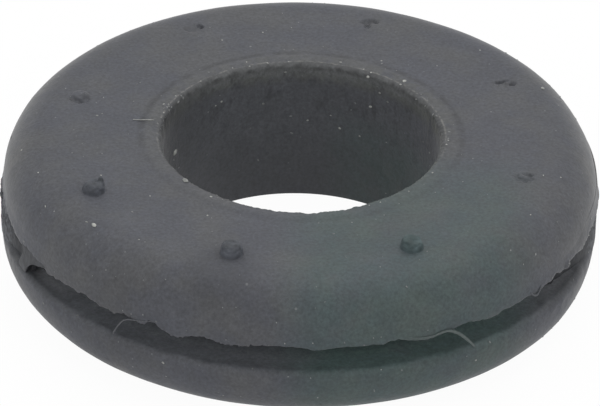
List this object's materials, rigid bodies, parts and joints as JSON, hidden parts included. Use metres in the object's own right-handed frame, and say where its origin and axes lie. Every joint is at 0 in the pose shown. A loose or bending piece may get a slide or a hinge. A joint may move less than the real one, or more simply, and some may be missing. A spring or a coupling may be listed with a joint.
{
  "type": "rubber grommet",
  "caption": "Round moulded rubber grommet: a plain cable bore, two rounded flanges and a groove between them that snaps into a panel hole.",
  "frame": {"origin": "on the bore's axis, in the plane that the lower flange rests on", "axes": "+Z along the bore, out of the upper face that carries the gate marks"},
  "size_m": [0.03, 0.03, 0.0084],
  "materials": {
    "rubber": "matt moulded rubber with a faint grey bloom and dust"
  },
  "bodies": {
    "root": {"grommet": "rubber"}
  },
  "joints": []
}
